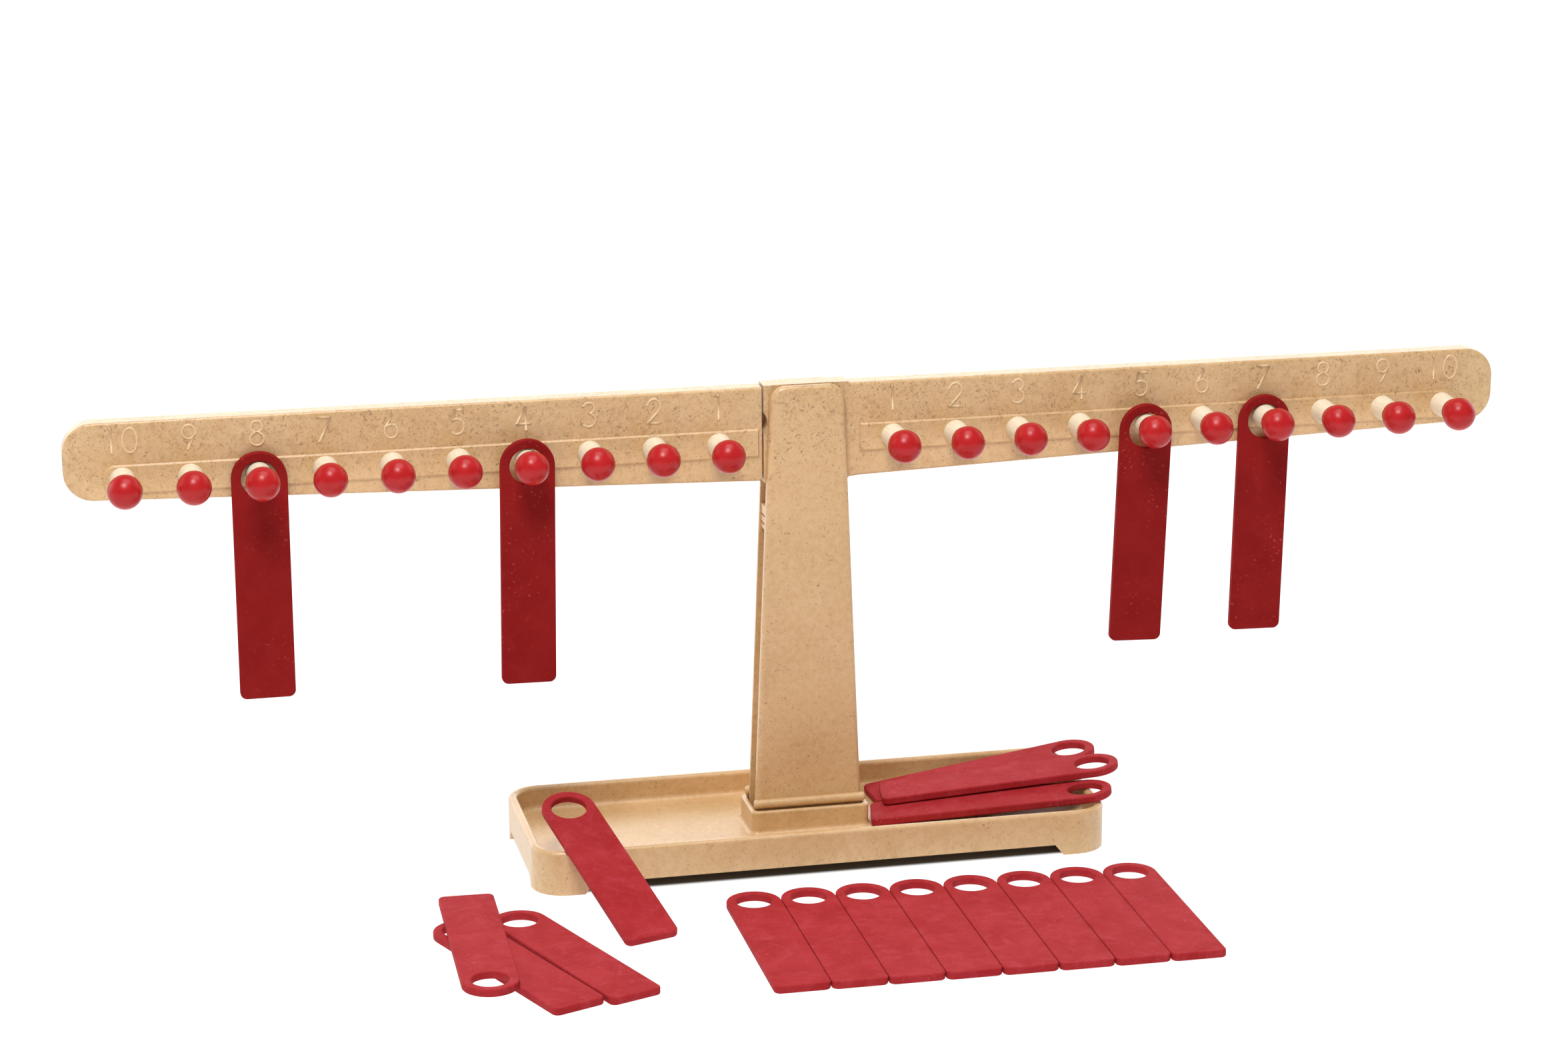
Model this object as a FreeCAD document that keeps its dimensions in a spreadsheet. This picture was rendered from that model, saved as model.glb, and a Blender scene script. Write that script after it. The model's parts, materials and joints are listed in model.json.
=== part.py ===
import FreeCAD, Part
import os
import re
import Sketcher

# A tabletop arithmetic balance: a tray with a column, a beam with ten pegs on each arm,
# and equal flat weights that hang on the pegs or lie about the tray.
# Frame: origin on the floor under the column, +X along the right arm, +Y to the back, +Z up.
# Lengths are millimetres and angles are degrees.

DIMENSIONS = {
    # column and pivot
    "pivot_height": 205.0,
    "pin_radius": 2.0,
    "pin_length": 15.4,
    "running_clearance": 0.05,
    "seat_clearance": 0.01,
    "plate_gap_half": 5.4,
    "plate_thickness": 3.8,
    "plate_top": 216.0,
    "plate_top_half": 16.7,
    "plate_foot_half": 24.4,
    "plate_taper_start": 24.0,
    "plate_bottom": 3.0,
    "plate_corner": 7.0,
    "plate_edge": 2.0,
    "bead_radius": 2.05,
    "bead_half": 25.8,
    "bead_height": 22.4,
    "bead_setback": 10.0,
    # stop block between the plates
    "stop_half": 18.4,
    "stop_bottom": 149.0,
    "stop_top": 160.2,
    "stop_slot_half": 11.6,
    "stop_slot_floor": 154.5,
    "groove_depth": 1.5,
    "groove_width": 0.9,
    "upper_groove": 155.3,
    "lower_groove": 151.6,
    # beam
    "beam_half_length": 325.6,
    "beam_half_thickness": 5.0,
    "beam_top": 215.5,
    "arm_root_bottom": 172.6,
    "arm_end_bottom": 181.7,
    "arm_corner": 13.0,
    "arm_edge": 1.2,
    "hub_half": 19.3,
    "hub_top": 216.3,
    "hub_corner": 172.2,
    "hub_bottom": 166.6,
    "chin_half": 14.8,
    "hub_blend": 5.0,
    "slit": 0.9,
    "notch_height": 199.5,
    "notch_radius": 6.8,
    "notch_width": 1.7,
    "notch_depth": 7.0,
    "finger_half": 4.0,
    "finger_tip": 156.0,
    "tenon_length": 12.0,
    "tenon_half_thickness": 2.5,
    "tenon_bottom": 176.0,
    "tenon_top": 192.0,
    "tenon_end_gap": 0.8,
    # hollow back of the arms
    "back_depth": 6.5,
    "back_wall": 2.5,
    "boss_radius": 7.5,
    "rib_half": 0.8,
    # raised strip that carries the pegs
    "strip_half": 6.4,
    "strip_height": 1.0,
    "strip_end": 309.0,
    "strip_left_start": 21.4,
    "strip_right_start": 24.6,
    "strip_corner": 5.5,
    "strip_chamfer": 0.7,
    # pegs and their caps
    "peg_height": 190.5,
    "first_peg": 39.7,
    "peg_pitch": 29.0,
    "peg_root_radius": 5.5,
    "peg_tip_radius": 4.8,
    "peg_seat": 3.0,
    "peg_tip": 26.0,
    "peg_chamfer": 0.6,
    "peg_bore_clearance": 0.02,
    "cap_radius": 7.5,
    "cap_centre": 27.2,
    "cap_back": 20.9,
    "cap_collar_radius": 5.9,
    # weights
    "weight_width": 24.2,
    "weight_length": 111.0,
    "weight_thickness": 3.4,
    "weight_hole_radius": 8.0,
    "weight_corner": 3.0,
    "weight_edge": 0.7,
    "hang_drop": 2.35,
    # tray
    "tray_half_x": 132.0,
    "tray_half_y": 47.0,
    "tray_corner": 15.0,
    "tray_wall": 4.0,
    "rim_height": 20.2,
    "rim_round": 1.8,
    "floor_top": 9.2,
    "floor_underside": 6.2,
    "floor_blend": 2.5,
    "skirt_gap": 5.0,
    "skirt_gap_half_x": 110.0,
    "skirt_gap_half_y": 31.0,
    "skirt_slant": 4.0,
    # socket for the column
    "socket_half_x": 27.4,
    "socket_half_y": 13.5,
    "socket_top": 19.8,
    "socket_corner": 3.0,
    "socket_wall": 2.6,
    "socket_round": 1.2,
    "socket_foot_blend": 2.0,
    "socket_step": 17.6,
    "socket_slack": 0.3,
    "tongue_half_x": 20.0,
    "tongue_top": 17.0,
    # row of weights lying in front of the tray
    "row_first_x": -41.4,
    "row_pitch": 24.42,
    "row_end_y": -179.2,
    "row_turn": -1.0,
    "row_heading": 89.8,
}
PEG_COUNT = 10
ROW_COUNT = 8
ARM_SLOPE = "(arm_end_bottom - arm_root_bottom) / (beam_half_length - hub_half)"

# Weights that hang: the peg's number, counted from the column and negative on the left arm,
# how far the weight's back face stands in front of the beam's middle plane, and how far
# the weight is swung to the left.
HANGING = {
    "weight_left_8": (-8, 6.7, 0.0),
    "weight_left_4": (-4, 11.5, 0.8),
    "weight_right_5": (5, 11.5, 2.0),
    "weight_right_7": (7, 6.7, 1.3),
}
# Weights that lie free: the middle of the square end's lower edge, then the heading of the
# weight's length from +X towards +Y, its climb towards the ring end, and its roll.
LYING = {
    "weight_leaning": (-91.9, -111.9, 0.75, 102.5, 16.3, -3.3),
    "weight_tray_1": (36.3, 20.6, 9.45, 3.4, 7.05, 0.0),
    "weight_tray_2": (38.7, 10.0, 13.9, -9.4, 6.7, 0.0),
    "weight_tray_3": (30.4, -4.6, 9.45, -13.0, 6.4, 0.0),
    "weight_heap_1": (-164.2, -53.4, 3.6, -92.0, 0.0, 0.0),
    "weight_heap_2": (-134.2, -177.6, 0.0, 111.6, 0.0, 0.0),
    "weight_heap_3": (-109.6, -172.2, 0.0, 110.6, 0.0, 0.0),
}

Vector = FreeCAD.Vector
doc = FreeCAD.newDocument("ArithmeticBalance")
sheet = doc.addObject("Spreadsheet::Sheet", "Dims")
for row, (alias, number) in enumerate(DIMENSIONS.items(), start=1):
    sheet.set(f"A{row}", alias.replace("_", " "))
    sheet.set(f"B{row}", str(number))
    sheet.setAlias(f"B{row}", alias)
doc.recompute()


def expression(text):
    """The text with each dimension's name written as a reference to the sheet."""
    return re.sub(r"[a-z_]+", lambda m: "Dims." + m[0] if m[0] in DIMENSIONS else m[0], text)


def value(text):
    """The number that an expression in the dimensions' names gives."""
    return float(sheet.evalExpression(expression(text)))


def bind(thing, name, text):
    thing.setExpression(name, expression(text))


# ---------------------------------------------------------------- sketches and features

def new_body(name):
    body = doc.addObject("PartDesign::Body", name)
    body.Label = name
    return body


def new_sketch(body, plane, offset="0"):
    """A sketch on one of the body's origin planes, moved by offset along the plane's normal."""
    sketch = body.newObject("Sketcher::SketchObject", "sketch")
    support = next(f for f in body.Origin.OriginFeatures if f.Role == plane)
    sketch.AttachmentSupport = [(support, "")]
    sketch.MapMode = "FlatFace"
    bind(sketch, "AttachmentOffset.Base.z", offset)
    return sketch


def place(sketch, geometry, point, x, y):
    """Fixes a point of the sketch's geometry at x and y, given as expressions."""
    for kind, text in (("DistanceX", x), ("DistanceY", y)):
        rule = Sketcher.Constraint(kind, -1, 1, geometry, point, value(text))
        index = sketch.addConstraint(rule)
        sketch.setExpression(f"Constraints[{index}]", expression(text))


def polygon(sketch, corners):
    """A closed outline of straight lines through corners, pairs of expressions."""
    points = [Vector(value(x), value(y), 0) for x, y in corners]
    first = sketch.GeometryCount
    for index, point in enumerate(points):
        sketch.addGeometry(Part.LineSegment(point, points[(index + 1) % len(points)]))
    for index, (x, y) in enumerate(corners):
        after = first + (index + 1) % len(points)
        sketch.addConstraint(Sketcher.Constraint("Coincident", first + index, 2, after, 1))
        place(sketch, first + index, 1, x, y)


def rectangle(sketch, left, bottom, right, top):
    polygon(sketch, [(left, bottom), (right, bottom), (right, top), (left, top)])


def centred_rectangle(sketch, half_x, half_y):
    rectangle(sketch, f"-({half_x})", f"-({half_y})", half_x, half_y)


def circle(sketch, x, y, radius):
    geometry = sketch.addGeometry(Part.Circle(Vector(value(x), value(y), 0), Vector(0, 0, 1),
                                              value(radius)))
    index = sketch.addConstraint(Sketcher.Constraint("Radius", geometry, value(radius)))
    sketch.setExpression(f"Constraints[{index}]", expression(radius))
    place(sketch, geometry, 3, x, y)


def settle(body, feature):
    """Recomputes the document and stops if the feature failed."""
    doc.recompute()
    if "Invalid" in feature.State or "Touched" in feature.State:
        raise RuntimeError(f"{feature.Name} in {body.Label}: {feature.getStatusString()}")


def extrude(kind, body, sketch, length, reverse=False, middle=False):
    """A Pad or a Pocket of the sketch; a Pocket with no length goes through everything."""
    feature = body.newObject("PartDesign::" + kind, kind.lower())
    feature.Profile = sketch
    feature.Reversed = reverse
    if middle:
        feature.SideType = "Symmetric"
    if length:
        bind(feature, "Length", length)
    else:
        feature.Type = "ThroughAll"
    settle(body, feature)


def pad(body, sketch, length, **options):
    extrude("Pad", body, sketch, length, **options)


def pocket(body, sketch, length=None, **options):
    """A Pocket, with a test that it took material away."""
    before = body.Shape.Volume
    extrude("Pocket", body, sketch, length, **options)
    if body.Shape.Volume > before - 1e-3:
        raise RuntimeError(f"a pocket in {body.Label} cuts nothing")


def revolve(body, sketch, axis):
    feature = body.newObject("PartDesign::Revolution", "revolution")
    feature.Profile = sketch
    line = next(f for f in body.Origin.OriginFeatures if f.Role == axis)
    feature.ReferenceAxis = (line, [""])
    feature.Angle = 360
    settle(body, feature)


def edges_within(body, x=None, y=None, z=None):
    """Names of the body's edges that lie wholly inside the limits (low, high)."""
    slack = 1e-4
    names = []
    for index, edge in enumerate(body.Tip.Shape.Edges, start=1):
        box = edge.BoundBox
        spans = ((x, box.XMin, box.XMax), (y, box.YMin, box.YMax), (z, box.ZMin, box.ZMax))
        if all(limits is None or (low >= limits[0] - slack and high <= limits[1] + slack)
               for limits, low, high in spans):
            names.append(f"Edge{index}")
    return names


def along_y(body, names):
    """Those of the named edges that run along Y."""
    boxes = {name: body.Tip.Shape.getElement(name).BoundBox for name in names}
    return [name for name, box in boxes.items() if box.XLength < 1e-4 and box.ZLength < 1e-4]


def dress(kind, body, names, size):
    """A Fillet or a Chamfer of the named edges."""
    base = body.Tip
    feature = body.newObject("PartDesign::" + kind, kind.lower())
    feature.Base = (base, names)
    bind(feature, "Radius" if kind == "Fillet" else "Size", size)
    settle(body, feature)


def upright_edges(body, half_x, half_y):
    """Names of the vertical edges at the four corners of a centred rectangle."""
    return [name for x in (-value(half_x), value(half_x)) for y in (-value(half_y), value(half_y))
            for name in edges_within(body, (x, x), (y, y))]


# ---------------------------------------------------------------- base

def build_tray():
    """Tray with a rounded rim, a hollow underside open to all four sides and a socket."""
    body = new_body("base_tray")
    inner_x, inner_y = "tray_half_x - tray_wall", "tray_half_y - tray_wall"

    sketch = new_sketch(body, "XY_Plane")
    centred_rectangle(sketch, "tray_half_x", "tray_half_y")
    pad(body, sketch, "rim_height")
    sketch = new_sketch(body, "XY_Plane", "rim_height")
    centred_rectangle(sketch, inner_x, inner_y)
    pocket(body, sketch, "rim_height - floor_top")
    sketch = new_sketch(body, "XY_Plane")
    centred_rectangle(sketch, inner_x, inner_y)
    pocket(body, sketch, "floor_underside", reverse=True)
    corners = upright_edges(body, inner_x, inner_y)
    dress("Fillet", body, corners, "tray_corner - tray_wall")
    corners = upright_edges(body, "tray_half_x", "tray_half_y")
    dress("Fillet", body, corners, "tray_corner")

    top = value("rim_height")
    dress("Fillet", body, edges_within(body, z=(top, top)), "rim_round")
    floor = value("floor_top")
    dress("Fillet", body, edges_within(body, z=(floor, floor)), "floor_blend")

    sketch = new_sketch(body, "XZ_Plane")
    cut_out(sketch, "skirt_gap_half_x")
    pocket(body, sketch, middle=True)
    sketch = new_sketch(body, "YZ_Plane")
    cut_out(sketch, "skirt_gap_half_y")
    pocket(body, sketch, middle=True)

    build_socket(body)
    return body


def cut_out(sketch, half):
    """The outline of a gap under the skirt, with slanted ends."""
    polygon(sketch, [(f"-{half}", "0"), (half, "0"), (f"{half} - skirt_slant", "skirt_gap"),
                     (f"skirt_slant - {half}", "skirt_gap")])


def build_socket(body):
    """The box that holds the column's plates; its foot reaches the floor under the pivot."""
    sketch = new_sketch(body, "XY_Plane")
    centred_rectangle(sketch, "socket_half_x", "socket_half_y")
    pad(body, sketch, "socket_top")
    corners = upright_edges(body, "socket_half_x", "socket_half_y")
    dress("Fillet", body, corners, "socket_corner")
    reach_x, reach_y = value("socket_half_x"), value("socket_half_y")
    floor = value("floor_top")
    foot = edges_within(body, (-reach_x, reach_x), (-reach_y, reach_y), (floor, floor))
    dress("Fillet", body, foot, "socket_foot_blend")

    inner_x = "socket_half_x - socket_wall"
    sketch = new_sketch(body, "XY_Plane", "socket_top")
    centred_rectangle(sketch, inner_x, "socket_half_y - socket_wall")
    pocket(body, sketch, "socket_top - socket_step")
    corners = upright_edges(body, inner_x, "socket_half_y - socket_wall")
    dress("Fillet", body, corners, "socket_corner / 2")
    sketch = new_sketch(body, "XY_Plane", "socket_step")
    centred_rectangle(sketch, "plate_foot_half + socket_slack", "plate_gap_half + plate_thickness")
    pocket(body, sketch, "socket_step - plate_bottom")
    sketch = new_sketch(body, "XY_Plane", "plate_bottom")
    centred_rectangle(sketch, "tongue_half_x", "plate_gap_half")
    pad(body, sketch, "tongue_top - plate_bottom")

    top = value("socket_top")
    rim = edges_within(body, x=(-reach_x, reach_x), z=(top, top))
    dress("Fillet", body, rim, "socket_round")


def build_plate(name, side):
    """One of the two plates of the column; side is -1 at the front and +1 at the back."""
    body = new_body(name)
    inner = "plate_gap_half"
    outer = "(plate_gap_half + plate_thickness)"
    # the XZ plane's normal is -Y, so the pad runs from the inner face out at the front
    # and from the outer face in at the back
    start = inner if side < 0 else f"-{outer}"
    sketch = new_sketch(body, "XZ_Plane", start)
    polygon(sketch, [("-plate_foot_half", "plate_bottom"), ("plate_foot_half", "plate_bottom"),
                     ("plate_foot_half", "plate_taper_start"), ("plate_top_half", "plate_top"),
                     ("-plate_top_half", "plate_top"), ("-plate_foot_half", "plate_taper_start")])
    pad(body, sketch, "plate_thickness")

    top = value("plate_top")
    dress("Fillet", body, along_y(body, edges_within(body, z=(top, top))), "plate_corner")
    face = side * value(outer)
    outline = edges_within(body, y=(face, face), z=(value("plate_bottom") + 1, top))
    dress("Fillet", body, outline, "plate_edge")

    sketch = new_sketch(body, "YZ_Plane")
    circle(sketch, f"{side} * bead_setback", "bead_height", "bead_radius")
    pad(body, sketch, "2 * bead_half", middle=True)
    end = value("bead_half")
    ends = edges_within(body, x=(end, end)) + edges_within(body, x=(-end, -end))
    dress("Fillet", body, ends, "0.6 * bead_radius")

    sketch = new_sketch(body, "XZ_Plane", f"{-side} * {inner}")
    circle(sketch, "0", "pivot_height", "pin_radius + seat_clearance")
    pocket(body, sketch, "pin_length / 2 - plate_gap_half", reverse=side < 0)
    return body


def build_stop_block():
    """Grooved spacer between the plates, with a slot that limits the hub's finger."""
    body = new_body("column_stop_block")
    sketch = new_sketch(body, "XZ_Plane")
    polygon(sketch, [("-stop_half", "stop_bottom"), ("stop_half", "stop_bottom"),
                     ("stop_half", "stop_top"), ("stop_slot_half", "stop_top"),
                     ("stop_slot_half", "stop_slot_floor"), ("-stop_slot_half", "stop_slot_floor"),
                     ("-stop_slot_half", "stop_top"), ("-stop_half", "stop_top")])
    pad(body, sketch, "2 * plate_gap_half", middle=True)
    sketch = new_sketch(body, "XZ_Plane")
    for groove in ("upper_groove", "lower_groove"):
        bottom, top = f"{groove} - groove_width / 2", f"{groove} + groove_width / 2"
        for side in (-1, 1):
            inner, outer = f"{side} * (stop_half - groove_depth)", f"{side} * (stop_half + 1)"
            rectangle(sketch, inner, bottom, outer, top)
    pocket(body, sketch, middle=True)
    return body


def build_pin():
    """Steel axle of the beam."""
    body = new_body("pivot_pin")
    sketch = new_sketch(body, "XZ_Plane")
    circle(sketch, "0", "pivot_height", "pin_radius")
    pad(body, sketch, "pin_length", middle=True)
    half = value("pin_length / 2")
    ends = edges_within(body, y=(half, half)) + edges_within(body, y=(-half, -half))
    dress("Chamfer", body, ends, "pin_radius / 8")
    return body


# ---------------------------------------------------------------- beam

def peg_x(side, number):
    """Where a peg stands along the beam; pegs are numbered from the column outwards."""
    return f"{side} * (first_peg + {number - 1} * peg_pitch)"


def round_arm(body, side):
    """Rounds an arm's outer end and the edges of its outline."""
    tip = value(f"{side} * beam_half_length")
    dress("Fillet", body, along_y(body, edges_within(body, x=(tip, tip))), "arm_corner")
    half, beyond_hub = value("beam_half_thickness"), value("hub_half + hub_blend") + 1
    for face in (-half, half):
        names = []
        for name in edges_within(body, y=(face, face)):
            box = body.Tip.Shape.getElement(name).BoundBox
            if max(abs(box.XMin), abs(box.XMax)) > beyond_hub:
                names.append(name)
        dress("Fillet", body, names, "arm_edge")


def hollow_back(body, side, root):
    """Hollows an arm's back, and stands bosses and ribs in the hollow."""
    outer = f"{side} * (beam_half_length - back_wall)"
    cut_outer = f"{side} * (beam_half_length - back_wall - arm_corner / 2)"
    inner = f"{side} * ({root} + back_wall)"
    low_outer = "arm_end_bottom + back_wall"
    low_inner = f"arm_root_bottom + back_wall + {ARM_SLOPE} * ({root} + back_wall - hub_half)"
    top = "beam_top - back_wall"
    sketch = new_sketch(body, "XZ_Plane", "-beam_half_thickness")
    polygon(sketch, [(inner, low_inner), (cut_outer, low_outer),
                     (outer, f"{low_outer} + arm_corner / 2"), (outer, f"{top} - arm_corner / 2"),
                     (cut_outer, top), (inner, top)])
    pocket(body, sketch, "back_depth", reverse=True)

    # bosses behind the pegs, ribs midway between them and one along the peg line
    sketch = new_sketch(body, "XZ_Plane", "-beam_half_thickness")
    for number in range(1, PEG_COUNT + 1):
        circle(sketch, peg_x(side, number), "peg_height", "boss_radius")
    pad(body, sketch, "back_depth")
    sketch = new_sketch(body, "XZ_Plane", "-beam_half_thickness")
    for number in range(1, PEG_COUNT):
        middle = f"({peg_x(side, number)} + {side} * peg_pitch / 2)"
        low = f"arm_root_bottom + back_wall / 2 + {ARM_SLOPE} * ({side} * {middle} - hub_half)"
        rectangle(sketch, f"{middle} - rib_half", low, f"{middle} + rib_half",
                  "beam_top - back_wall / 2")
    pad(body, sketch, "back_depth")
    sketch = new_sketch(body, "XZ_Plane", "-beam_half_thickness")
    rectangle(sketch, f"{side} * ({root} + back_wall / 2)", "peg_height - rib_half",
              f"{side} * (beam_half_length - back_wall / 2)", "peg_height + rib_half")
    pad(body, sketch, "back_depth")


def add_strip(body, side, start):
    """The raised strip with its bevelled edge and the blind seats of the pegs."""
    sketch = new_sketch(body, "XZ_Plane", "beam_half_thickness")
    rectangle(sketch, f"{side} * {start}", "peg_height - strip_half",
              f"{side} * strip_end", "peg_height + strip_half")
    pad(body, sketch, "strip_height")
    face = -value("beam_half_thickness + strip_height")
    outer = value(f"{side} * strip_end")
    dress("Fillet", body, along_y(body, edges_within(body, x=(outer, outer))), "strip_corner")
    dress("Chamfer", body, edges_within(body, y=(face, face)), "strip_chamfer")

    sketch = new_sketch(body, "XZ_Plane", "beam_half_thickness + strip_height")
    for number in range(1, PEG_COUNT + 1):
        circle(sketch, peg_x(side, number), "peg_height", "peg_root_radius + peg_bore_clearance")
    pocket(body, sketch, "beam_half_thickness + strip_height + peg_seat")


def build_right_arm():
    """Right arm in one with the hub, which has the bearing, the finger and the left arm's slot."""
    body = new_body("beam_right_arm")
    sketch = new_sketch(body, "XZ_Plane")
    polygon(sketch, [("-hub_half", "hub_corner"), ("-chin_half", "hub_bottom"),
                     ("-finger_half", "hub_bottom"), ("-finger_half", "finger_tip"),
                     ("finger_half", "finger_tip"), ("finger_half", "hub_bottom"),
                     ("chin_half", "hub_bottom"), ("hub_half", "hub_corner"),
                     ("hub_half + hub_blend", f"arm_root_bottom + {ARM_SLOPE} * hub_blend"),
                     ("beam_half_length", "arm_end_bottom"), ("beam_half_length", "beam_top"),
                     ("hub_half + hub_top - beam_top", "beam_top"), ("hub_half", "hub_top"),
                     ("-hub_half", "hub_top")])
    pad(body, sketch, "2 * beam_half_thickness", middle=True)
    round_arm(body, 1)
    hollow_back(body, 1, "(hub_half + hub_blend)")
    add_strip(body, 1, "strip_right_start")

    sketch = new_sketch(body, "XZ_Plane")
    circle(sketch, "0", "pivot_height", "pin_radius + running_clearance")
    pocket(body, sketch, middle=True)
    sketch = new_sketch(body, "XZ_Plane", "beam_half_thickness")
    circle(sketch, "-hub_half + notch_width - notch_radius", "notch_height", "notch_radius")
    pocket(body, sketch, "notch_depth")
    sketch = new_sketch(body, "XZ_Plane")
    depth = "(tenon_length - slit + tenon_end_gap)"
    rectangle(sketch, "-hub_half - 1", "tenon_bottom", f"{depth} - hub_half", "tenon_top")
    pocket(body, sketch, "2 * tenon_half_thickness", middle=True)
    return body


def build_left_arm():
    """Left arm with the tenon that plugs into the hub."""
    body = new_body("beam_left_arm")
    sketch = new_sketch(body, "XZ_Plane")
    root = "(hub_half + slit)"
    polygon(sketch, [(f"-{root}", f"arm_root_bottom + {ARM_SLOPE} * slit"),
                     ("-beam_half_length", "arm_end_bottom"), ("-beam_half_length", "beam_top"),
                     (f"-{root}", "beam_top")])
    pad(body, sketch, "2 * beam_half_thickness", middle=True)
    round_arm(body, -1)
    hollow_back(body, -1, root)
    add_strip(body, -1, "strip_left_start")

    sketch = new_sketch(body, "XZ_Plane")
    rectangle(sketch, f"-{root} - 1", "tenon_bottom", f"tenon_length - {root}", "tenon_top")
    pad(body, sketch, "2 * tenon_half_thickness", middle=True)
    return body


def build_peg(name, side, number):
    """Tapered stick that a weight hangs on."""
    body = new_body(name)
    sketch = new_sketch(body, "YZ_Plane")
    root_y = "-(beam_half_thickness + strip_height)"
    polygon(sketch, [("peg_seat", "0"), ("peg_seat", "peg_root_radius - peg_chamfer"),
                     ("peg_seat - peg_chamfer", "peg_root_radius"), (root_y, "peg_root_radius"),
                     ("-cap_back", "peg_tip_radius"), ("peg_chamfer - peg_tip", "peg_tip_radius"),
                     ("-peg_tip", "peg_tip_radius - peg_chamfer"), ("-peg_tip", "0")])
    revolve(body, sketch, "Y_Axis")
    bind(body, "Placement.Base.x", peg_x(side, number))
    bind(body, "Placement.Base.z", "peg_height")
    return body


def build_caps(name, side):
    """The ten ball caps of one arm, each a ball with a short collar and a blind bore."""
    caps = []
    for number in range(1, PEG_COUNT + 1):
        ball = doc.addObject("Part::Sphere", f"{name}_ball_{number}")
        bind(ball, "Radius", "cap_radius")
        bind(ball, "Placement.Base.y", "-cap_centre")
        collar = doc.addObject("Part::Cylinder", f"{name}_collar_{number}")
        bind(collar, "Radius", "cap_collar_radius")
        bind(collar, "Height", "cap_centre - cap_back")
        bore = doc.addObject("Part::Cylinder", f"{name}_bore_{number}")
        bind(bore, "Radius", "peg_tip_radius + 2 * peg_bore_clearance")
        bind(bore, "Height", "peg_tip - cap_centre + cap_radius")
        for cylinder, start in ((collar, "-cap_back"), (bore, "cap_radius - cap_centre")):
            cylinder.Placement.Rotation = FreeCAD.Rotation(Vector(1, 0, 0), 90)
            bind(cylinder, "Placement.Base.y", start)
        solid = doc.addObject("Part::Fuse", f"{name}_solid_{number}")
        solid.Base, solid.Tool = ball, collar
        cap = doc.addObject("Part::Cut", f"{name}_{number}")
        cap.Base, cap.Tool = solid, bore
        bind(cap, "Placement.Base.x", peg_x(side, number))
        bind(cap, "Placement.Base.z", "peg_height")
        caps.append(cap)
    group = doc.addObject("Part::Compound", name)
    group.Label = name
    group.Links = caps
    return group


# ---------------------------------------------------------------- weights

def build_weight(name):
    """Flat weight lying along +X on its lower face, with its square end at the origin."""
    body = new_body(name)
    sketch = new_sketch(body, "XY_Plane")
    half, ring = "weight_width / 2", "weight_length - weight_width / 2"
    rectangle(sketch, "0", f"-{half}", ring, half)
    pad(body, sketch, "weight_thickness")
    square_end = edges_within(body, x=(0, 0))
    square_end = [edge for edge in square_end
                  if body.Tip.Shape.getElement(edge).BoundBox.ZLength > 1]
    dress("Fillet", body, square_end, "weight_corner")
    sketch = new_sketch(body, "XY_Plane")
    circle(sketch, ring, "0", half)
    pad(body, sketch, "weight_thickness")
    sketch = new_sketch(body, "XY_Plane")
    circle(sketch, ring, "0", "weight_hole_radius")
    pocket(body, sketch, "weight_thickness", reverse=True)
    top = value("weight_thickness")
    rims = edges_within(body, z=(0, 0)) + edges_within(body, z=(top, top))
    dress("Fillet", body, rims, "weight_edge")
    return body


def hang(body, number, back, swing):
    """Hangs a weight from a peg: its back face's distance from the middle, and its swing."""
    upright = FreeCAD.Rotation(Vector(0, 0, 1), Vector(1, 0, 0), Vector(0, 1, 0), "XZY")
    body.Placement.Rotation = FreeCAD.Rotation(Vector(0, 1, 0), swing) * upright
    below = "(hang_drop + weight_length - weight_width / 2)"
    side = 1 if number > 0 else -1
    bind(body, "Placement.Base.x", f"{peg_x(side, abs(number))} - {below} * sin({swing})")
    bind(body, "Placement.Base.y", f"-({back}) - weight_thickness")
    bind(body, "Placement.Base.z", f"peg_height - {below} * cos({swing})")


def lay(body, x, y, z, heading, climb, roll):
    """Lays a weight with its square end at x, y, z."""
    turn = FreeCAD.Rotation(heading, -climb, roll)
    body.Placement = FreeCAD.Placement(Vector(x, y, z), turn)


# ---------------------------------------------------------------- assembly

parts = [build_tray(), build_plate("column_front_plate", -1), build_plate("column_rear_plate", 1),
         build_stop_block(), build_pin(), build_right_arm(), build_left_arm()]
for side, word in ((-1, "left"), (1, "right")):
    for number in range(1, PEG_COUNT + 1):
        parts.append(build_peg(f"peg_{word}_{number:02d}", side, number))
    parts.append(build_caps(f"{word}_peg_caps", side))
for name, (number, back, swing) in HANGING.items():
    weight = build_weight(name)
    hang(weight, number, back, swing)
    parts.append(weight)
for name, pose in LYING.items():
    weight = build_weight(name)
    lay(weight, *pose)
    parts.append(weight)
for number in range(ROW_COUNT):
    weight = build_weight(f"weight_row_{number + 1}")
    lay(weight, 0, 0, 0, value("row_heading"), 0, 0)
    along = f"{number} * row_pitch"
    bind(weight, "Placement.Base.x", f"row_first_x + {along} * cos(row_turn)")
    bind(weight, "Placement.Base.y", f"row_end_y + {along} * sin(row_turn)")
    parts.append(weight)
doc.recompute()

for thing in doc.Objects:
    if "Invalid" in thing.State or "Error" in thing.State:
        raise RuntimeError(f"{thing.Name} failed: {thing.State}")
for part in parts:
    if part.Shape.isNull() or not part.Shape.isValid():
        raise RuntimeError(f"{part.Label} has no valid shape")

os.makedirs("parts", exist_ok=True)
for part in parts:
    part.Shape.exportStep(f"parts/{part.Label}.step")
    box = part.Shape.BoundBox
    print(f"{part.Label}: {len(part.Shape.Solids)} solid, {part.Shape.Volume / 1000:.2f} cm3, "
          f"X {box.XMin:.1f} {box.XMax:.1f}, Y {box.YMin:.1f} {box.YMax:.1f}, "
          f"Z {box.ZMin:.1f} {box.ZMax:.1f}")
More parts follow.
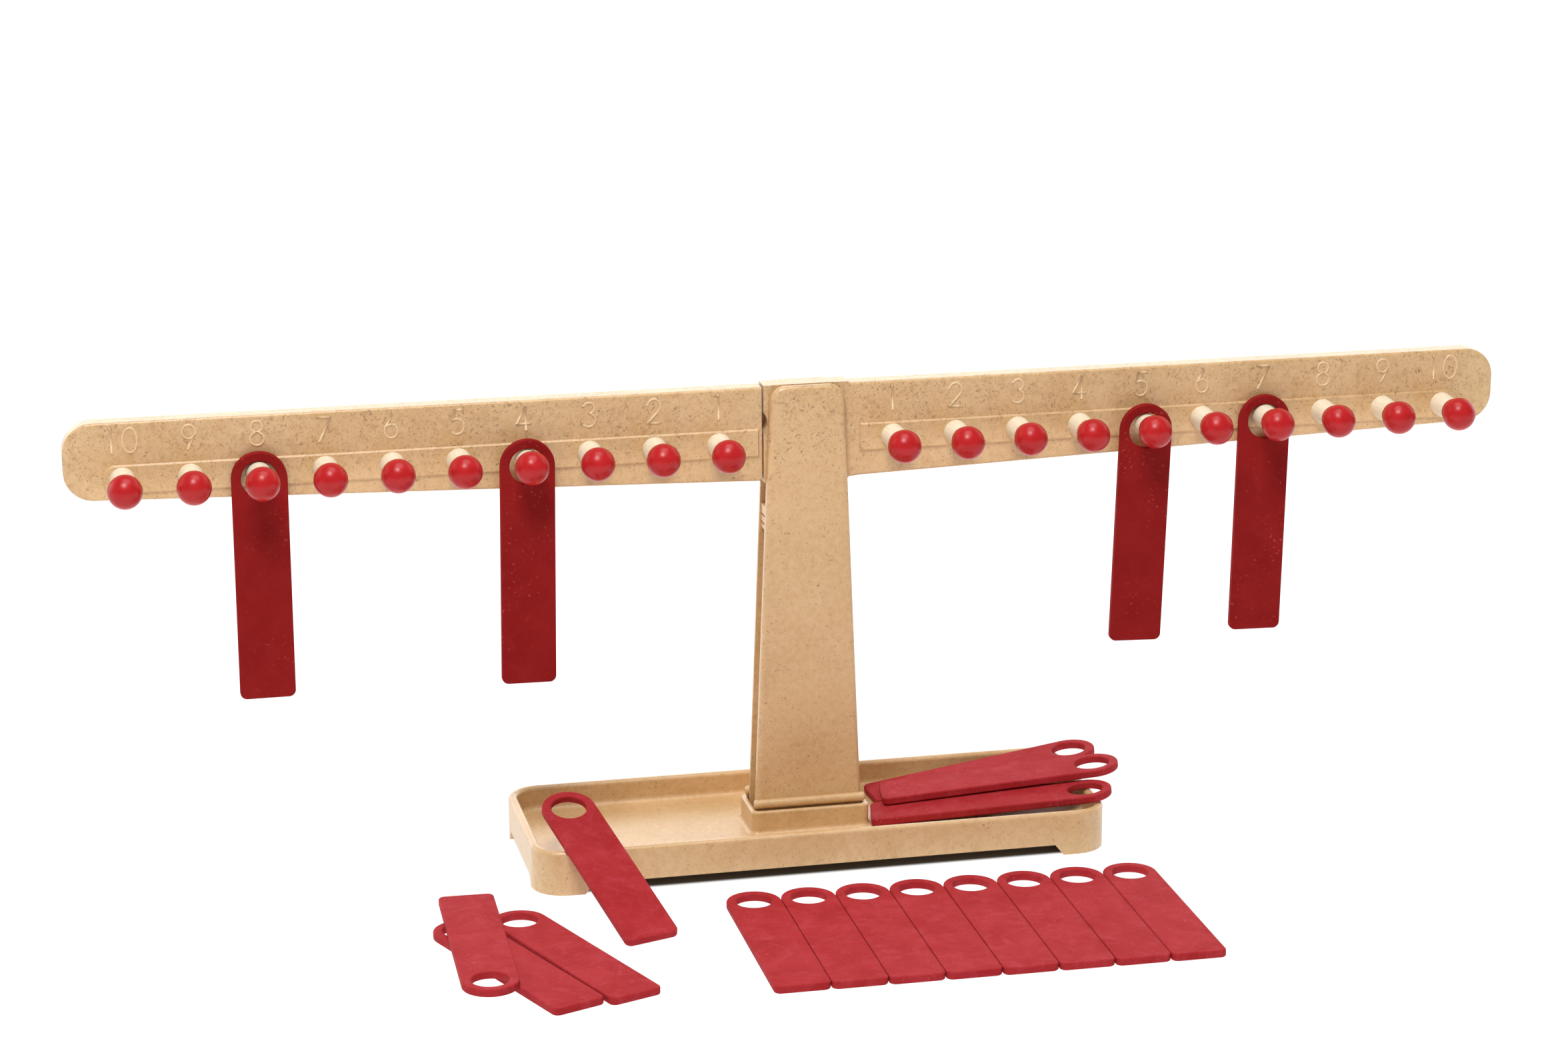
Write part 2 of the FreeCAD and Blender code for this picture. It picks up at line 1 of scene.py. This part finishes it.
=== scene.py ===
import json
import math
import bmesh
import bpy
from mathutils import Matrix, Vector


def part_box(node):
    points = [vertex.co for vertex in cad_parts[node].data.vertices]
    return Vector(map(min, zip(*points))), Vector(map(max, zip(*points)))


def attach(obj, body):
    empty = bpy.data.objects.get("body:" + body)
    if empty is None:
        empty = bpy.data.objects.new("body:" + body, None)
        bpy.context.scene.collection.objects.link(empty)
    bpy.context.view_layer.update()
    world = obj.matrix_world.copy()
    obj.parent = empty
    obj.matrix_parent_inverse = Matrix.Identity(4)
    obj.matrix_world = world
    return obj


# A tabletop arithmetic balance of wood-fibre composite, with red ball caps and red weights.
# Lengths are metres, angles are degrees and colours are linear.

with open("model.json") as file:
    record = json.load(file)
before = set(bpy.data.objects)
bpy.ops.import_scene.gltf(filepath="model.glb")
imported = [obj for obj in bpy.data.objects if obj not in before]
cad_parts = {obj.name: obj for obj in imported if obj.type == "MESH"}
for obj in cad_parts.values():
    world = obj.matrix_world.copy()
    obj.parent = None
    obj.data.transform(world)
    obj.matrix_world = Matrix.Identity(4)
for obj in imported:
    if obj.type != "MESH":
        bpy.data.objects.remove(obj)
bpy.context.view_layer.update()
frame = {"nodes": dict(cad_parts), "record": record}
nodes = frame["nodes"]
MM = 0.001


# ---------------------------------------------------------------- camera, floor and light

SENSOR_WIDTH = 36.0
CAMERA_PLACE = Vector((-0.3632, -1.5930, 0.5960))
CAMERA_YAW, CAMERA_PITCH, CAMERA_ROLL = -12.532, -15.234, -0.229
CAMERA_LENS = 86.524
CAMERA_REACH = 100
# each lamp's name, azimuth (0 in front, growing to the left), elevation, distance, size and watts
LAMPS = (("key_lamp", 24, 58, 2.2, 0.7, 32), ("top_lamp", 0, 87, 1.7, 1.0, 11))
LAMP_TARGET = Vector((0, 0, 0.1))
ROOM_FILL = 0.22
ROOM_GLOW = 2.0
# the glow grows from the first to the second of each pair: towards the back, and downwards
GLOW_BACK = (-0.1, 0.5)
GLOW_DOWN = (0.75, 0.3)
FLOOR_SIZE = 24
# the floor shines white all round the tray and is left dark beneath it
TRAY_HALF_X, TRAY_HALF_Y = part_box("base_tray")[1].xy
SHINE_START, SHINE_FULL = 5.0 * MM, 0.5 * MM
CORNER_START, CORNER_FULL = 17.0 * MM, 11.0 * MM


def turned(yaw, pitch, roll):
    """The rotation of a camera that looks along +Y and is then yawed, pitched and rolled."""
    return (Matrix.Rotation(math.radians(yaw), 3, "Z")
            @ Matrix.Rotation(math.radians(90 + pitch), 3, "X")
            @ Matrix.Rotation(math.radians(roll), 3, "Z")).to_euler()


def add_camera():
    """A camera that frames the balance from the front, a little to the left and above."""
    data = bpy.data.cameras.new("camera")
    data.sensor_width = SENSOR_WIDTH
    data.lens = CAMERA_LENS
    data.clip_end = CAMERA_REACH
    camera = bpy.data.objects.new("camera", data)
    camera.location = CAMERA_PLACE
    camera.rotation_euler = turned(CAMERA_YAW, CAMERA_PITCH, CAMERA_ROLL)
    bpy.context.scene.collection.objects.link(camera)
    bpy.context.scene.camera = camera


def add_lamp(name, azimuth, elevation, distance, size, power):
    """A square soft box aimed at the column."""
    a, e = math.radians(azimuth), math.radians(elevation)
    offset = Vector((-math.sin(a) * math.cos(e), -math.cos(a) * math.cos(e), math.sin(e)))
    data = bpy.data.lights.new(name, "AREA")
    data.size = size
    data.energy = power
    lamp = bpy.data.objects.new(name, data)
    lamp.location = LAMP_TARGET + offset * distance
    lamp.rotation_euler = (-offset).to_track_quat("-Z", "Y").to_euler()
    bpy.context.scene.collection.objects.link(lamp)


def add_room():
    """White room that is brightest low down behind the object."""
    n = Nodes(bpy.data.worlds.new("studio"), "Background")
    way = n.add("ShaderNodeSeparateXYZ", Vector=n.direction)
    behind = n.spread(way.outputs["Y"], *GLOW_BACK)
    low = n.spread(way.outputs["Z"], *GLOW_DOWN)
    glow = n.math("MULTIPLY", n.math("MULTIPLY", behind, low), ROOM_GLOW)
    n.set(Strength=n.math("ADD", glow, ROOM_FILL))
    n.set(Color=(1, 1, 1, 1))
    bpy.context.scene.world = n.owner


def add_floor():
    """A floor that shines white outside the tray's outline, so only the tray's foot is dark."""
    bpy.ops.mesh.primitive_plane_add(size=FLOOR_SIZE)
    floor = bpy.context.active_object
    floor.name = "floor"
    n = Nodes(bpy.data.materials.new("floor"))
    away = n.add("ShaderNodeVectorMath")
    away.operation = "ABSOLUTE"
    n.tree.links.new(n.place, away.inputs[0])
    split = n.add("ShaderNodeSeparateXYZ", Vector=away.outputs["Vector"])
    x, y = split.outputs["X"], split.outputs["Y"]
    along = n.spread(x, TRAY_HALF_X - SHINE_START, TRAY_HALF_X - SHINE_FULL)
    across = n.spread(y, TRAY_HALF_Y - SHINE_START, TRAY_HALF_Y - SHINE_FULL)
    reach = TRAY_HALF_X + TRAY_HALF_Y
    corner = n.spread(n.math("ADD", x, y), reach - CORNER_START, reach - CORNER_FULL)
    n.set(Emission_Strength=n.math("MAXIMUM", n.math("MAXIMUM", along, across), corner))
    n.set(Emission_Color=(1, 1, 1, 1), Base_Color=grey(0.2), Roughness=0.8,
          Specular_IOR_Level=0.1)
    floor.data.materials.append(n.owner)


# ---------------------------------------------------------------- materials

TAN_DEEP, TAN_LIGHT = (0.61, 0.375, 0.162, 1), (0.68, 0.435, 0.21, 1)
TAN_PALE, TAN_DIM = (0.77, 0.545, 0.31, 1), (0.48, 0.265, 0.10, 1)
FIBRE_HALO, FIBRE = (0.42, 0.22, 0.08, 1), (0.22, 0.10, 0.03, 1)
# paler tans for the raised numbers: painted highlight on their ridges
NUMBER_HIGHLIGHT_DEEP, NUMBER_HIGHLIGHT_LIGHT = (0.76, 0.53, 0.285, 1), (0.81, 0.58, 0.335, 1)
CREAM, CREAM_STREAK = (0.86, 0.77, 0.61, 1), (0.78, 0.66, 0.47, 1)
CAP_DEEP, CAP_BRIGHT = (0.42, 0.009, 0.01, 1), (0.49, 0.014, 0.016, 1)
WEIGHT_REDS = (0.345, 0.015, 0.018, 1), (0.405, 0.026, 0.031, 1), (0.50, 0.065, 0.09, 1)
# the weight reds darkened for the hanging weights: painted shade on their fronts, which face away
# from the light above
PAINTED_SHADE_HUNG_REDS = (0.23, 0.006, 0.006, 1), (0.265, 0.009, 0.009, 1), (0.30, 0.016, 0.016, 1)
SCUFF = (0.62, 0.17, 0.14, 1)
# each layer of fibres: its turn, its cells per metre and the noise level where a fibre starts
FIBRE_LAYERS = (((20, 35, 8), (900, 900, 640), 0.63), ((75, -35, 40), (1300, 1300, 560), 0.64),
                ((-30, 10, 70), (700, 800, 460), 0.67))
# the fibres crowd together from the lower of these heights to the upper one
CROWD_BOTTOM, CROWD_TOP = 150.0 * MM, 215.0 * MM


def grey(value):
    return (value, value, value, 1)


def give(tree, socket, given):
    """Links a socket to another node's socket, or sets it to a value."""
    if isinstance(given, bpy.types.NodeSocket):
        tree.links.new(given, socket)
    else:
        socket.default_value = given


class Nodes:
    """A short way to write the nodes of a material or a world."""

    def __init__(self, owner, shader="Principled BSDF"):
        self.owner = owner
        owner.use_nodes = True
        self.tree = owner.node_tree
        self.shader = self.tree.nodes[shader]
        texture = self.add("ShaderNodeTexCoord")
        self.place, self.direction = texture.outputs["Object"], texture.outputs["Generated"]

    def add(self, kind, **inputs):
        node = self.tree.nodes.new(kind)
        self.fill(node, inputs)
        return node

    def fill(self, node, inputs):
        for name, given in inputs.items():
            give(self.tree, node.inputs[name.replace("_", " ")], given)

    def set(self, **inputs):
        """Fills the shader's sockets."""
        self.fill(self.shader, inputs)

    def noise(self, scale, detail=3.0, roughness=0.55, vector=None):
        node = self.add("ShaderNodeTexNoise", Vector=vector or self.place, Scale=scale,
                        Detail=detail, Roughness=roughness)
        return node.outputs["Fac"]

    def streaks(self, cells):
        """A noise with its own number of cells per metre along X, Y and Z."""
        mapping = self.add("ShaderNodeMapping", Vector=self.place, Scale=cells)
        return self.noise(1.0, vector=mapping.outputs["Vector"])

    def spread(self, number, start, end):
        """0 up to start, 1 from end, and smooth between them."""
        node = self.add("ShaderNodeMapRange", Value=number)
        node.interpolation_type = "SMOOTHSTEP"
        node.inputs["From Min"].default_value = start
        node.inputs["From Max"].default_value = end
        return node.outputs["Result"]

    def warped(self, scale, amount):
        """Object coordinates pushed about by a noise."""
        noise = self.add("ShaderNodeTexNoise", Vector=self.place, Scale=scale, Detail=1.0)
        shift = self.add("ShaderNodeVectorMath")
        shift.operation = "SCALE"
        shift.inputs["Scale"].default_value = amount
        self.tree.links.new(noise.outputs["Color"], shift.inputs[0])
        total = self.add("ShaderNodeVectorMath")
        self.tree.links.new(self.place, total.inputs[0])
        self.tree.links.new(shift.outputs["Vector"], total.inputs[1])
        return total.outputs["Vector"]

    def ramp(self, fac, low, high, start=grey(0), end=grey(1)):
        """Goes from the colour start at low to the colour end at high."""
        node = self.add("ShaderNodeValToRGB", Fac=fac)
        first, last = node.color_ramp.elements
        first.position, first.color = low, start
        last.position, last.color = high, end
        return node.outputs["Color"]

    def math(self, operation, a, b):
        node = self.add("ShaderNodeMath")
        node.operation = operation
        for socket, given in zip(node.inputs, (a, b)):
            give(self.tree, socket, given)
        return node.outputs["Value"]

    def mix(self, fac, a, b):
        """The colour a where fac is 0, and b where it is 1."""
        node = self.add("ShaderNodeMix")
        node.data_type = "RGBA"
        for index, given in ((0, fac), (6, a), (7, b)):
            give(self.tree, node.inputs[index], given)
        return node.outputs[2]

    def bump(self, height, distance, strength=1.0, under=None):
        inputs = {"Height": height, "Distance": distance, "Strength": strength}
        if under is not None:
            inputs["Normal"] = under
        return self.add("ShaderNodeBump", **inputs).outputs["Normal"]


def composite_material(name, amount, deep=TAN_DEEP, light=TAN_LIGHT):
    """Wood-fibre composite between two tones; amount is how strongly the flecks show."""
    n = Nodes(bpy.data.materials.new(name))
    cloud = n.noise(30.0, detail=4.0)
    colour = n.mix(n.ramp(cloud, 0.35, 0.65), deep, light)
    swirl = n.warped(90.0, 0.005)
    mottle = n.noise(330.0, detail=5.0, roughness=0.7)
    colour = n.mix(n.math("MULTIPLY", n.ramp(mottle, 0.45, 0.78), 0.45), colour, TAN_PALE)
    dim = n.ramp(mottle, 0.25, 0.5, grey(1), grey(0))
    colour = n.mix(n.math("MULTIPLY", dim, 0.35), colour, TAN_DIM)
    height_above = n.add("ShaderNodeSeparateXYZ", Vector=n.place).outputs["Z"]
    crowd = n.math("MULTIPLY", n.spread(height_above, CROWD_BOTTOM, CROWD_TOP), 0.07)
    cluster = n.ramp(n.noise(110.0, detail=3.0, vector=swirl), 0.3, 0.56)
    halo = n.math("ADD", n.noise(300.0, detail=4.0, roughness=0.62, vector=swirl), crowd)
    halo = n.math("MULTIPLY", n.ramp(halo, 0.6, 0.72), 0.45 * amount)
    colour = n.mix(halo, colour, FIBRE_HALO)
    height = None
    for turn, stretch, start in FIBRE_LAYERS:
        mapping = n.add("ShaderNodeMapping", Vector=swirl,
                        Scale=[1 / number for number in stretch],
                        Rotation=[math.radians(angle) for angle in turn])
        mapping.vector_type = "TEXTURE"
        spots = n.noise(1.0, detail=3.0, roughness=0.65, vector=mapping.outputs["Vector"])
        spots = n.math("ADD", spots, n.math("MULTIPLY", crowd, 0.6))
        mask = n.math("MULTIPLY", n.ramp(spots, start, start + 0.06), cluster)
        colour = n.mix(n.math("MULTIPLY", mask, 0.8 * amount), colour, FIBRE)
        height = mask if height is None else n.math("ADD", height, mask)
    bump = n.bump(n.noise(420.0, detail=5.0), 0.0004, 0.3)
    bump = n.bump(height, 0.0001, -0.3, bump)
    rough = n.ramp(n.noise(260.0), 0.3, 0.8, grey(0.4), grey(0.54))
    n.set(Base_Color=colour, Roughness=rough, Normal=bump)
    n.set(Specular_IOR_Level=0.5, Coat_Weight=0.6, Coat_Roughness=0.3)
    return n.owner


def stick_material():
    """Cream, smooth peg stick with faint lengthwise streaks."""
    n = Nodes(bpy.data.materials.new("peg_stick"))
    streak = n.streaks((900, 90, 900))
    colour = n.mix(n.ramp(streak, 0.3, 0.75), CREAM, CREAM_STREAK)
    n.set(Base_Color=colour, Normal=n.bump(streak, 0.0001, 0.2))
    n.set(Roughness=0.42)
    return n.owner


def cap_material():
    """Glossy red plastic with a slightly uneven skin."""
    n = Nodes(bpy.data.materials.new("cap"))
    blotch = n.noise(240.0, detail=3.0)
    colour = n.mix(n.ramp(blotch, 0.3, 0.7), CAP_DEEP, CAP_BRIGHT)
    rough = n.ramp(n.noise(500.0), 0.3, 0.75, grey(0.26), grey(0.34))
    bump = n.bump(n.noise(330.0, detail=4.0), 0.0003, 0.3)
    n.set(Base_Color=colour, Roughness=rough, Normal=bump)
    n.set(Specular_IOR_Level=0.3)
    return n.owner


def weight_material(name, deep, bright, bloom):
    """Semi-matt red plastic, mottled and rubbed; bloom is the colour of the paler patches."""
    n = Nodes(bpy.data.materials.new(name))
    swirl = n.warped(40.0, 0.02)
    cloud = n.noise(60.0, detail=5.0, roughness=0.6, vector=swirl)
    colour = n.mix(n.ramp(cloud, 0.35, 0.66), deep, bright)
    patch = n.noise(150.0, detail=5.0, roughness=0.65, vector=swirl)
    colour = n.mix(n.math("MULTIPLY", n.ramp(patch, 0.5, 0.72), 0.35), colour, bloom)
    grain = n.noise(900.0, detail=3.0, roughness=0.7)
    colour = n.mix(n.math("MULTIPLY", n.ramp(grain, 0.5, 0.75), 0.25), colour, bloom)
    scuffs = n.math("MULTIPLY", n.ramp(n.noise(620.0, detail=2.0), 0.64, 0.7),
                    n.ramp(n.noise(45.0), 0.48, 0.66))
    colour = n.mix(n.math("MULTIPLY", scuffs, 0.35), colour, SCUFF)
    rough = n.ramp(n.noise(180.0), 0.3, 0.8, grey(0.66), grey(0.78))
    bump = n.bump(n.noise(520.0, detail=5.0), 0.0003, 0.3)
    n.set(Base_Color=colour, Roughness=rough, Normal=bump)
    n.set(Specular_IOR_Level=0.1)
    return n.owner


def steel_material():
    """Turned steel with fine rings."""
    n = Nodes(bpy.data.materials.new("steel"))
    rings = n.streaks((40, 4000, 40))
    n.set(Base_Color=n.mix(rings, grey(0.5), grey(0.66)), Normal=n.bump(rings, 0.00005, 0.3))
    n.set(Metallic=1.0, Roughness=0.3)
    return n.owner


# looks that differ from the one their slot has, by the start of the node's name; the hanging
# weights take a darker copy of the weight red, which is painted shade on their fronts
LOOKS = {"column": "composite_column", "weight_left": "weight_hung_painted_shade", "weight_right": "weight_hung_painted_shade"}


def dress_nodes(materials):
    """Gives each CAD node its material."""
    for entry in frame["record"]["subparts"]:
        name = entry["node"]
        look = next((LOOKS[start] for start in LOOKS if name.startswith(start)),
                    entry["material_slot"])
        for slot in nodes[name].material_slots:
            slot.material = materials[look]


# ---------------------------------------------------------------- digits

# the numbers stand on the arms' face, which is behind the raised strip that the pegs sit in
STRIP_RISE = 1.0 * MM
BEAM_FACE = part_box("beam_left_arm")[0].y + STRIP_RISE
PEG_COUNT = 10
SAME_POINT = 1e-6
DIGIT_FOOT = 11.6 * MM
DIGIT_HEIGHT = 10.8 * MM
DIGIT_WIDTH = 6.3 * MM
DIGIT_STEP = 1.25 * DIGIT_WIDTH
RIDGE_HALF_WIDTH = 0.5 * MM
RIDGE_RISE = 0.42 * MM
RIDGE_END = 0.7 * RIDGE_HALF_WIDTH
RIDGE_SIDES = 10
TO_BACK = Vector((0, 1, 0))


def arc(x, z, radius_x, radius_z, start, end):
    """Points on an ellipse's arc in a digit's box, which is 1 wide and 1 high."""
    count = max(6, int(abs(end - start) / 12))
    turns = [math.radians(start + (end - start) * i / count) for i in range(count + 1)]
    return [(x + radius_x * math.cos(t), z + radius_z * math.sin(t)) for t in turns]


# each digit is a list of strokes in a box from (0, 0) to (1, 1)
STROKES = {
    "0": [arc(0.5, 0.5, 0.5, 0.5, 90, 450)],
    "1": [[(0.34, 1.0), (0.5, 1.0)], [(0.5, 1.0), (0.5, 0.0)]],
    "2": [arc(0.5, 0.7, 0.46, 0.3, 170, -30) + [(0.04, 0.0)], [(0.04, 0.0), (1.0, 0.0)]],
    "3": [arc(0.5, 0.77, 0.4, 0.23, 160, -90), arc(0.48, 0.27, 0.48, 0.27, 90, -160)],
    "4": [[(0.66, 0.0), (0.66, 1.0)], [(0.66, 1.0), (0.0, 0.27)], [(0.0, 0.27), (1.0, 0.27)]],
    "5": [[(0.92, 1.0), (0.28, 1.0)],
          [(0.28, 1.0), (0.12, 0.56)] + arc(0.46, 0.32, 0.5, 0.32, 118, -155)],
    "6": [[(0.62, 1.0), (0.1, 0.42)], arc(0.5, 0.28, 0.45, 0.28, 0, 360)],
    "7": [[(0.0, 1.0), (0.96, 1.0)], [(0.96, 1.0), (0.14, 0.0)]],
    "8": [arc(0.5, 0.77, 0.39, 0.23, -90, 270), arc(0.5, 0.27, 0.48, 0.27, 90, 450)],
    "9": [[(0.38, 0.0), (0.9, 0.58)], arc(0.5, 0.72, 0.45, 0.28, 0, 360)],
}


def ridge(mesh, points, closed):
    """Adds a low ridge along points to a bmesh, with pointed ends where it isn't closed."""
    count = len(points)
    rings = []
    for index, point in enumerate(points):
        before = points[index - 1] if closed or index else point
        after = points[(index + 1) % count] if closed or index < count - 1 else point
        across = (after - before).normalized().cross(TO_BACK)
        ring = []
        for side in range(RIDGE_SIDES):
            turn = 2 * math.pi * side / RIDGE_SIDES
            ring.append(mesh.verts.new(point + RIDGE_HALF_WIDTH * math.cos(turn) * across
                                       + RIDGE_RISE * math.sin(turn) * TO_BACK))
        rings.append(ring)
    pairs = list(zip(rings, rings[1:]))
    if closed:
        pairs.append((rings[-1], rings[0]))
    for first, second in pairs:
        for side in range(RIDGE_SIDES):
            after = (side + 1) % RIDGE_SIDES
            mesh.faces.new((first[side], first[after], second[after], second[side]))
    if not closed:
        for ring, is_start, end, inner in ((rings[0], True, points[0], points[1]),
                                           (rings[-1], False, points[-1], points[-2])):
            peak = mesh.verts.new(end + (end - inner).normalized() * RIDGE_END)
            for side in range(RIDGE_SIDES):
                corners = (ring[side], ring[(side + 1) % RIDGE_SIDES], peak)
                mesh.faces.new(corners if is_start else corners[::-1])


def add_digits(material):
    """Raised numbers over the pegs, 1 at the column to 10 at each end."""
    for word in ("left", "right"):
        for number in range(1, PEG_COUNT + 1):
            text = str(number)
            lowest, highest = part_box(f"peg_{word}_{number:02d}")
            peg = (lowest + highest) / 2
            mesh = bmesh.new()
            for index, digit in enumerate(text):
                left = peg.x - DIGIT_WIDTH / 2 + (index - (len(text) - 1) / 2) * DIGIT_STEP
                for stroke in STROKES[digit]:
                    closed = math.dist(stroke[0], stroke[-1]) < SAME_POINT
                    points = [Vector((left + x * DIGIT_WIDTH, BEAM_FACE,
                                      peg.z + DIGIT_FOOT + z * DIGIT_HEIGHT))
                              for x, z in (stroke[:-1] if closed else stroke)]
                    ridge(mesh, points, closed)
            piece = add_piece(f"number_{word}_{number:02d}", mesh, material, "beam")
            piece.data.shade_smooth()


def add_piece(name, mesh, material, body):
    """Makes an object from a bmesh, which rides a body and takes a slot's finish."""
    data = bpy.data.meshes.new(name)
    mesh.to_mesh(data)
    mesh.free()
    piece = bpy.data.objects.new(name, data)
    bpy.context.scene.collection.objects.link(piece)
    data.materials.append(material)
    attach(piece, body)
    return piece


# ---------------------------------------------------------------- assembly

bpy.context.scene.view_settings.view_transform = "Standard"
add_camera()
add_room()
for lamp in LAMPS:
    add_lamp(*lamp)
add_floor()
materials = {
    "composite": composite_material("composite", 0.9),
    "composite_column": composite_material("composite_column", 1.0),
    # a paler composite for the numbers, which is painted highlight on their ridges
    "composite_painted_highlight": composite_material("composite_painted_highlight", 0.3, NUMBER_HIGHLIGHT_DEEP, NUMBER_HIGHLIGHT_LIGHT),
    "peg_stick": stick_material(),
    "cap": cap_material(),
    "weight": weight_material("weight", *WEIGHT_REDS),
    # the hanging weights' material is the weight red with painted shade
    "weight_hung_painted_shade": weight_material("weight_hung_painted_shade", *PAINTED_SHADE_HUNG_REDS),
    "steel": steel_material(),
}
dress_nodes(materials)
# the numbers take the paler composite, which is painted highlight
add_digits(materials["composite_painted_highlight"])
